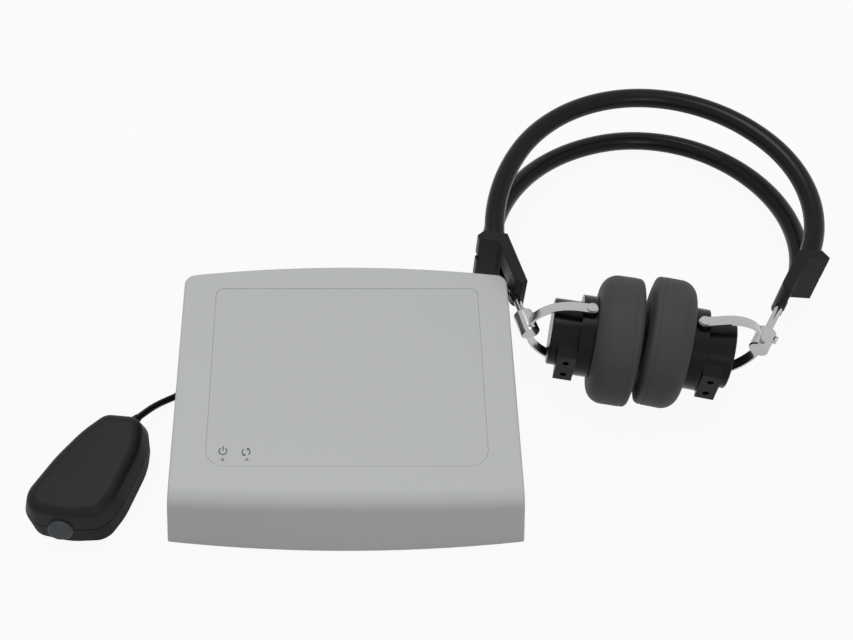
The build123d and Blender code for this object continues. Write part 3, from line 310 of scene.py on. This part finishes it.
# Lamp windows in the roof: a small dark lens in a ring that has the panel's grey
lampSpots = {
    "lensRadius": 0.85, "pipeRadius": 1.5, "lens": (0.03, 0.035, 0.035), "lensRoughness": 0.15,
    "ringRougher": 0.3, "cloudScale": 300.0, "glossSwing": 0.06,
}


def lampFinish(name, ringColour):
    look = lampSpots
    bench = newBench(name)
    low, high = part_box("light_pipes")
    inset = look["pipeRadius"] * mm
    across = bench.node("ShaderNodeSeparateXYZ", inputs={0: bench.place()}, output="X")
    depth = across.beside("Y") - (low[1] + high[1]) / 2.0
    near = []
    for middle in (low[0] + inset, high[0] - inset):
        aside = across - middle
        near.append(aside * aside + depth * depth)
    least = bench.maths("MINIMUM", *near)
    outside = bench.maths("GREATER_THAN", least, (look["lensRadius"] * mm) ** 2)
    clouds = bench.noise(look["cloudScale"])
    rougher = outside * look["ringRougher"]
    return bench.principled({
        "Base Color": bench.mixColour(outside, (*look["lens"], 1.0), (*ringColour, 1.0)),
        "Roughness": look["lensRoughness"] + rougher + clouds * look["glossSwing"],
    })


# Circuit board: green mask over tracks that show a little paler
boardLook = {
    "mask": (0.02, 0.16, 0.07, 1.0), "darkMask": (0.015, 0.11, 0.05, 1.0),
    "tracks": (0.05, 0.28, 0.12, 1.0), "scale": 90.0, "trackWidth": 0.03, "roughness": 0.3,
    "cloudScale": 200.0, "glossSwing": 0.15,
}


def boardFinish(name):
    look = boardLook
    bench = newBench(name)
    pattern = {
        "Vector": bench.place(), "Color1": look["mask"], "Color2": look["darkMask"],
        "Mortar": look["tracks"], "Scale": look["scale"], "Mortar Size": look["trackWidth"],
    }
    tracks = bench.node("ShaderNodeTexBrick", inputs=pattern)
    clouds = bench.noise(look["cloudScale"])
    return bench.principled(
        {"Base Color": tracks, "Roughness": look["roughness"] + clouds * look["glossSwing"]}
    )


# Each moulded or rubber finish; grain is a noise scale, and its depth is in metres
moulded = {
    "cover": {
        "name": "coverPlastic", "colour": (0.444, 0.455, 0.459), "roughness": 0.5, "grain": 1700.0,
        "cloud": 0.012,
    },
    "panel": {
        "name": "panelFilm", "colour": (0.437, 0.448, 0.452), "roughness": 0.46, "grain": 2200.0,
        "grainDepth": 0.00002, "cloud": 0.012,
    },
    "lowerCase": {
        "name": "lowerCasePlastic", "colour": (0.05, 0.052, 0.055), "roughness": 0.55,
        "grainDepth": 0.00004, "cloud": 0.06,
    },
    "switch": {
        "name": "switchPlastic", "colour": (0.0100, 0.0104, 0.0112), "roughness": 0.5,
        "grain": 1300.0, "grainDepth": 0.00006, "cloud": 0.12, "gloss": 0.14, "rub": 0.5,
    },
    # Lower shell of the hand switch: the switch plastic painted darker and less glossy, as painted
    # shade on its front faces
    "switchShadedUnder": {
        "name": "switchPaintedShadePlastic", "colour": (0.006, 0.006, 0.0063), "roughness": 0.6,
        "grain": 1300.0, "grainDepth": 0.00006, "cloud": 0.12, "gloss": 0.05, "rub": 0.5,
    },
    "button": {
        "name": "buttonPlastic", "colour": (0.040, 0.046, 0.053), "roughness": 0.36,
        "grain": 1800.0, "grainDepth": 0.00002,
    },
    "cord": {
        "name": "cordRubber", "colour": (0.005, 0.005, 0.0055), "roughness": 0.35,
        "grainDepth": 0.00002, "cloud": 0.1, "gloss": 0.1,
    },
    "vinyl": {
        "name": "vinylCover", "colour": (0.0035, 0.0035, 0.0038), "roughness": 0.27, "grain": 700.0,
        "grainDepth": 0.00001, "cloud": 0.15, "gloss": 0.15,
    },
    "bracket": {
        "name": "bracketPlastic", "colour": (0.0085, 0.009, 0.0098), "roughness": 0.36,
        "grain": 1400.0, "cloud": 0.1, "gloss": 0.12, "rub": 0.5,
    },
    "ear": {
        "name": "earphonePlastic", "colour": (0.0045, 0.0045, 0.0055), "roughness": 0.23,
        "grain": 1800.0, "grainDepth": 0.00001, "cloud": 0.1, "gloss": 0.12, "rub": 0.3,
    },
    "cushion": {
        "name": "cushionRubber", "colour": (0.038, 0.041, 0.0435), "roughness": 0.62,
        "grain": 1100.0, "grainDepth": 0.00008, "cloud": 0.2, "gloss": 0.2, "sheen": 0.03,
        "cloudScale": 70.0,
    },
    "chip": {"name": "chipPlastic", "colour": (0.012, 0.012, 0.013), "roughness": 0.5},
    "bush": {"name": "bushPlastic", "colour": (0.012, 0.012, 0.013), "roughness": 0.3},
    "rubber": {
        "name": "footRubber", "colour": (0.015, 0.015, 0.015), "roughness": 0.75, "grain": 900.0,
        "grainDepth": 0.00006,
    },
    "print": {"name": "printInk", "colour": (0.045, 0.05, 0.06), "roughness": 0.5},
    "lampChip": {"name": "lampChip", "colour": (0.7, 0.72, 0.6), "roughness": 0.3},
}
metals = {
    "steel": {"name": "platedSteel", "colour": (0.55, 0.55, 0.56), "roughness": 0.3},
    "chrome": {"name": "chromePlate", "colour": (0.45, 0.45, 0.447), "roughness": 0.12},
}
finishes = {finish: mouldedFinish(**settings) for finish, settings in moulded.items()}
finishes["lamp"] = lampFinish("lampWindow", moulded["panel"]["colour"])
finishes["board"] = boardFinish("circuitBoard")
for finish, settings in metals.items():
    finishes[finish] = metalFinish(**settings)

# The CAD pieces that have each finish
nodeFinishes = {
    "cover": ("top_cover",),
    "panel": ("inlay_panel",),
    "lowerCase": ("base",),
    "switch": ("switch_upper_shell",),
    # The lower shell takes the painted-shade copy of the switch plastic
    "switchShadedUnder": ("switch_lower_shell",),
    "button": ("button",),
    "lamp": ("light_pipes",),
    "lampChip": ("indicator_leds",),
    "board": ("main_board",),
    "chip": (
        "board_chips", "micro_switch", "left_phone_socket", "right_phone_socket", "bone_socket",
        "response_socket",
    ),
    "steel": (
        "usb_socket", "socket_nuts", "signal_shield", "board_screws", "case_screws",
        "switch_screws", "button_spring", "crown_wires", "left_wires", "right_wires",
        "left_driver", "right_driver",
    ),
    "rubber": ("rubber_feet", "hank_tie"),
    "cord": ("cord_relief", "response_plug"),
    "bracket": ("left_bracket", "right_bracket"),
    "bush": ("left_bush", "right_bush"),
    "ear": (
        "left_case", "right_case", "left_back_cap", "right_back_cap", "left_terminals",
        "right_terminals",
    ),
    "chrome": (
        "left_rod", "right_rod", "left_rod_end", "right_rod_end", "left_rod_screw",
        "right_rod_screw", "left_yoke", "right_yoke", "left_pins", "right_pins",
    ),
}


def dress(piece, finish):
    if not piece.material_slots:
        piece.data.materials.append(finishes[finish])
    for slot in piece.material_slots:
        slot.material = finishes[finish]


for finish, names in nodeFinishes.items():
    for name in names:
        dress(nodes[name], finish)
dress(switchCord, "cord")
print("finishes made:", len(finishes))

creaseAngle = math.radians(50.0)  # edges sharper than this stay sharp


def newPiece(name, verts, faces, finish, slot):
    mesh = bpy.data.meshes.new(name)
    mesh.from_pydata([tuple(vert) for vert in verts], [], faces)
    form = bmesh.new()
    form.from_mesh(mesh)
    bmesh.ops.recalc_face_normals(form, faces=form.faces)
    form.to_mesh(mesh)
    form.free()
    mesh.shade_smooth()
    mesh.set_sharp_from_angle(angle=creaseAngle)
    piece = addObject(name, mesh)
    dress(piece, finish)
    return piece


# Faces between rings of equal count, each ring closed on itself
def ringFaces(rings, count, closeEnds=False, loop=False):
    faces = []
    for ring in range(rings if loop else rings - 1):
        first = ring * count
        second = (ring + 1) % rings * count
        for place in range(count):
            after = (place + 1) % count
            faces.append((first + place, first + after, second + after, second + place))
    if closeEnds:
        faces.append(tuple(range(count)))
        faces.append(tuple(range((rings - 1) * count, rings * count)))
    return faces


# The same faces for corners that come after others of a mesh
def shifted(faces, base):
    return [tuple(base + corner for corner in face) for face in faces]


# Headband covers: each tube follows its tangent arcs, and both halves meet at the crown
band = {
    "tubeRadius": 5.25, "tubeSeat": 3.0, "middle": 33.0, "centre": (163.0, 98.0),
    "leftMouth": (78.2, 87.2), "rightMouth": (240.4, 75.0), "apexY": 187.0,
    "bendReach": 37.0, "ringGap": 2.0, "sides": 28,
}
tubes = {
    "upper": {
        "offset": 10.3, "apex": 46.0, "arcEnds": ((95.3, 146.3), (168.4, 184.8), (233.9, 151.1)),
    },
    "lower": {
        "offset": -10.3, "apex": 6.0, "arcEnds": ((101.8, 153.9), (150.1, 185.8), (214.4, 173.4)),
    },
}
# Each half crosses one hinge, given by its distance from the band's centre and its angle there
bandHalves = {
    "left": {
        "hinge": (94.0, 115.0), "bodies": ("audiometer", "crown"),
        "hides": ("left_tubes", "crown_tubes"),
    },
    "right": {"hinge": (97.5, 56.6), "bodies": ("crown", "right_side"), "hides": ("right_tubes",)},
}


# Centre line of one tube as points and headings, and the index where its two halves meet
def tubeLine(tube):
    endHeight = band["middle"] + tube["offset"]
    start = Vector((*band["leftMouth"], endHeight))
    mouthY = band["leftMouth"][1]
    stops = []
    for x, y in tube["arcEnds"]:
        share = (y - mouthY) / (band["apexY"] - mouthY)
        stops.append(Vector((x, y, endHeight + (tube["apex"] - endHeight) * share)))
    stops.append(Vector((*band["rightMouth"], endHeight)))
    way = Vector((0.0, stops[0].y - start.y, stops[0].z - start.z)).normalized()
    line = [(start - way * band["tubeSeat"], way.copy()), (start.copy(), way.copy())]
    for stop in stops:
        chord = stop - start
        ahead = chord.dot(way)
        aside = chord - way * ahead
        radius = chord.length_squared / aside.length / 2.0
        inward = aside.normalized()
        turn = 2.0 * math.atan2(aside.length, ahead)
        steps = int(radius * turn / band["ringGap"])
        for step in range(1, steps + 1):
            angle = turn * step / steps
            point = start + way * radius * math.sin(angle)
            point += inward * radius * (1.0 - math.cos(angle))
            line.append((point, way * math.cos(angle) + inward * math.sin(angle)))
        start, way = line[-1]
    line.append((start + way * band["tubeSeat"], way.copy()))
    middle = min(range(len(line)), key=lambda place: abs(line[place][0].x - band["centre"][0]))
    return line, middle


# A tube of even thickness round a centre line, closed at both ends
def tubeRings(line):
    verts = []
    count = band["sides"]
    for point, way in line:
        across = way.cross(Vector((0.0, 0.0, 1.0))).normalized()
        upward = across.cross(way).normalized()
        for place in range(count):
            angle = math.tau * place / count
            offset = across * math.cos(angle) + upward * math.sin(angle)
            verts.append(spot(*(point + offset * band["tubeRadius"])))
    return verts, ringFaces(len(line), count, closeEnds=True)


def makeBand():
    meshes = {side: ([], []) for side in bandHalves}
    for tube in tubes.values():
        line, middle = tubeLine(tube)
        for side, part in (("left", line[:middle + 1]), ("right", line[middle:])):
            verts, faces = meshes[side]
            newVerts, newFaces = tubeRings(part)
            faces += shifted(newFaces, len(verts))
            verts += newVerts
    for side, half in bandHalves.items():
        cover = newPiece(side + "BandCover", *meshes[side], "vinyl", "vinyl_black")
        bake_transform(cover)
        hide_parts(*half["hides"])


makeBand()
print("headband covers made")


# Ear cushions: thick rubber rings, round at the back, with a narrow moulded rim at the front
cushion = {
    "radius": 33.0, "back": 4.0, "thickness": 22.0, "hole": 11.0, "seat": 18.05, "seatEnd": 9.0,
    "seatBead": ((0.1, 0.6), (0.0, 2.0)), "backRound": 8.5, "sideStops": (0.25, 0.5, 0.75),
    "frontRound": 2.6, "frontAngles": (90.0, 10.0), "lip": 1.0, "crownRadius": 25.0,
    "mouthDrop": 5.0, "rimLine": 3.4, "rimDepth": 0.3, "rimHalf": 0.5, "rimFloorHalf": 0.15,
    "rimStep": 0.1,
    "backSteps": 12, "frontSteps": 8, "crownSteps": 8, "mouthSteps": 10, "sides": 144,
    "unevenness": 0.16, "unevenScale": 0.045, "seed": 7.0, "fill": 0.95,
}
ears = {
    "left": {"out": -1.0, "pivot": (121.6, 32.6), "yaw": -10.5},
    "right": {"out": 1.0, "pivot": (175.9, 24.8), "yaw": 13.0},
}


def arcPoints(middle, radius, fromAngle, toAngle, steps):
    points = []
    for step in range(steps + 1):
        angle = math.radians(fromAngle + (toAngle - fromAngle) * step / steps)
        points.append((middle[0] + radius * math.cos(angle), middle[1] + radius * math.sin(angle)))
    return points


# Half section of a cushion: distance along the earphone's axis and distance from it
def cushionSection():
    size = cushion
    radius = size["radius"]
    seat = size["seat"]
    back = size["back"]
    face = back + size["thickness"]
    sideStart = back + size["backRound"]
    rimPlace = face - size["lip"] - size["rimLine"]
    rimFloor = radius - size["rimDepth"]
    rimFront = radius - size["rimStep"]
    frontMiddle = (face - size["lip"] - size["frontRound"], rimFront - size["frontRound"])
    points = [(size["seatEnd"], size["hole"]), (size["seatEnd"], seat), (back, seat)]
    points += [(back + along, seat + outward) for along, outward in size["seatBead"]]
    points += arcPoints(
        (sideStart, radius - size["backRound"]), size["backRound"], 180.0, 90.0, size["backSteps"]
    )
    points += [(sideStart + (rimPlace - sideStart) * share, radius) for share in size["sideStops"]]
    points += [
        (rimPlace - size["rimHalf"], radius), (rimPlace - size["rimFloorHalf"], rimFloor),
        (rimPlace + size["rimFloorHalf"], rimFloor), (rimPlace + size["rimHalf"], rimFront),
    ]
    points += arcPoints(frontMiddle, size["frontRound"], *size["frontAngles"], size["frontSteps"])
    edge, edgeRadius = points[-1]
    crown = size["crownRadius"]
    for step in range(1, size["crownSteps"] + 1):
        share = step / size["crownSteps"]
        rise = (face - edge) * math.sin(share * math.pi / 2.0)
        points.append((edge + rise, edgeRadius + (crown - edgeRadius) * share))
    for step in range(1, size["mouthSteps"] + 1):
        share = step / size["mouthSteps"]
        drop = size["mouthDrop"] * (1.0 - math.cos(share * math.pi / 2.0))
        points.append((face - drop, crown + (size["hole"] - crown) * share))
    return points


# An earphone's pivot, the way its cushion faces and the way to its front
def earFrame(ear):
    yaw = math.radians(ear["yaw"])
    pivot = Vector((*ear["pivot"], band["middle"]))
    facing = Vector((-ear["out"] * math.cos(yaw), math.sin(yaw), 0.0))
    front = Vector((-ear["out"] * math.sin(yaw), -math.cos(yaw), 0.0))
    return pivot, facing, front


# The section turned about the earphone's axis, a little uneven as moulded rubber is
def turned(section, ear):
    pivot, facing, front = earFrame(ear)
    upward = Vector((0.0, 0.0, 1.0))
    shift = Vector((cushion["seed"] * ear["out"], 0.0, 0.0))
    unevenness = cushion["unevenness"]
    verts = []
    for along, radius in section:
        for place in range(cushion["sides"]):
            angle = math.tau * place / cushion["sides"]
            outward = front * math.cos(angle) + upward * math.sin(angle)
            point = pivot + facing * along + outward * radius
            sag = noise.noise(point * cushion["unevenScale"] + shift) * unevenness
            verts.append(spot(*(point + outward * (sag - unevenness * 0.5))))
    return verts


def makeCushions():
    section = cushionSection()
    faces = ringFaces(len(section), cushion["sides"], loop=True)
    for side, ear in ears.items():
        verts = turned(section, ear)
        pad = newPiece(side + "EarCushion", verts, faces, "cushion", "cushion_rubber")
        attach(pad, side + "_earphone")
        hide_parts(side + "_cushion")


makeCushions()
print("ear cushions made")


# Marks printed on the panel over the lamps: a power sign and two chasing arrows
marks = {
    "height": 39.9, "thickness": 0.06, "line": 0.5, "radius": 1.85, "power": (-58.4, -37.4),
    "link": (-47.4, -37.9), "powerGap": 36.0, "stem": (0.2, 2.6), "linkGap": 38.0, "head": 0.95,
    "headTurn": 34.0, "steps": 24,
}


# A flat figure of a few outlines, raised by the ink's thickness
def inkPiece(name, centre, outlines):
    verts = []
    faces = []
    for outline in outlines:
        base = len(verts)
        for height in (marks["height"], marks["height"] + marks["thickness"]):
            verts += [spot(centre[0] + x, centre[1] + y, height) for x, y in outline]
        faces += shifted(ringFaces(2, len(outline), closeEnds=True), base)
    piece = newPiece(name, verts, faces, "print", "case_dark")
    piece.data.shade_flat()
    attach(piece, "audiometer")


# Part of a printed ring, anticlockwise between two angles
def ringBand(fromAngle, toAngle):
    steps = marks["steps"]
    outer = arcPoints((0.0, 0.0), marks["radius"] + marks["line"] / 2.0, fromAngle, toAngle, steps)
    inner = arcPoints((0.0, 0.0), marks["radius"] - marks["line"] / 2.0, toAngle, fromAngle, steps)
    return outer + inner


def arrowHead(angle):
    turn = math.radians(angle)
    tip = math.radians(angle + marks["headTurn"])
    head = marks["head"]
    radius = marks["radius"]
    return [
        ((radius + head) * math.cos(turn), (radius + head) * math.sin(turn)),
        (radius * math.cos(tip), radius * math.sin(tip)),
        ((radius - head) * math.cos(turn), (radius - head) * math.sin(turn)),
    ]


def makeMarks():
    half = marks["line"] / 2.0
    low, high = marks["stem"]
    stem = [(-half, low), (half, low), (half, high), (-half, high)]
    gap = marks["powerGap"]
    inkPiece("powerSign", marks["power"], [ringBand(90.0 + gap, 450.0 - gap), stem])
    gap = marks["linkGap"]
    inkPiece(
        "linkSign", marks["link"],
        [ringBand(-90.0 + gap, 90.0 - gap), arrowHead(90.0 - gap),
         ringBand(90.0 + gap, 270.0 - gap), arrowHead(270.0 - gap)],
    )


makeMarks()
print("panel marks made")


# Stage: a pale floor that stays white to the eye and keeps a soft shadow, and studio light
stage = {
    "floorRadius": 4.0, "floorSides": 96, "floorGlow": 0.93, "floorColour": 0.48, "worldLight": 0.5,
    "white": (1.0, 1.0, 1.0, 1.0),
}
lights = {
    "keyLight": {"place": (-0.2, 0.3, 1.6), "target": (0.0, 0.0, 0.0), "size": 0.9, "power": 11.7},
    "frontLight": {
        "place": (0.35, -0.95, 0.75), "target": (0.1, 0.05, 0.0), "size": 0.26, "power": 1.7,
    },
}


# 1 where the eye, a reflection or a look through something meets the surface, 0 for light
def seenRays(bench):
    toCamera = bench.node("ShaderNodeLightPath", output="Is Camera Ray")
    seen = toCamera + toCamera.beside("Is Glossy Ray") + toCamera.beside("Is Transmission Ray")
    return bench.maths("MINIMUM", seen, 1.0)


def makeFloor():
    bench = newBench("paleFloor")
    pale = stage["floorColour"]
    matte = bench.node("ShaderNodeBsdfDiffuse", inputs={"Color": (pale, pale, pale, 1.0)})
    glow = bench.node("ShaderNodeEmission", inputs={"Color": stage["white"], "Strength": 1.0})
    share = seenRays(bench) * stage["floorGlow"]
    mixed = bench.node("ShaderNodeMixShader", inputs={0: share, 1: matte, 2: glow})
    form = bmesh.new()
    bmesh.ops.create_circle(
        form, cap_ends=True, radius=stage["floorRadius"], segments=stage["floorSides"]
    )
    mesh = bpy.data.meshes.new("floor")
    form.to_mesh(mesh)
    form.free()
    floor = addObject("floor", mesh)
    mesh.materials.append(bench.finish(mixed))


def makeWorld():
    world = bpy.data.worlds.new("studio")
    bpy.context.scene.world = world
    bench = Bench(world)
    seen = seenRays(bench)
    strength = seen + (1.0 - seen) * stage["worldLight"]
    sky = bench.node("ShaderNodeBackground", inputs={"Color": stage["white"], "Strength": strength})
    bench.node("ShaderNodeOutputWorld", inputs={"Surface": sky})


def makeLights():
    for name, light in lights.items():
        data = bpy.data.lights.new(name, "AREA")
        data.shape = "DISK"
        data.size = light["size"]
        data.energy = light["power"]
        lamp = addObject(name, data)
        lamp.location = light["place"]
        toTarget = Vector(light["target"]) - Vector(light["place"])
        lamp.rotation_euler = toTarget.to_track_quat("-Z", "Y").to_euler()


makeFloor()
makeWorld()
makeLights()
bpy.context.scene.view_settings.view_transform = "Standard"
print("floor and light set")

bpy.context.view_layer.update()
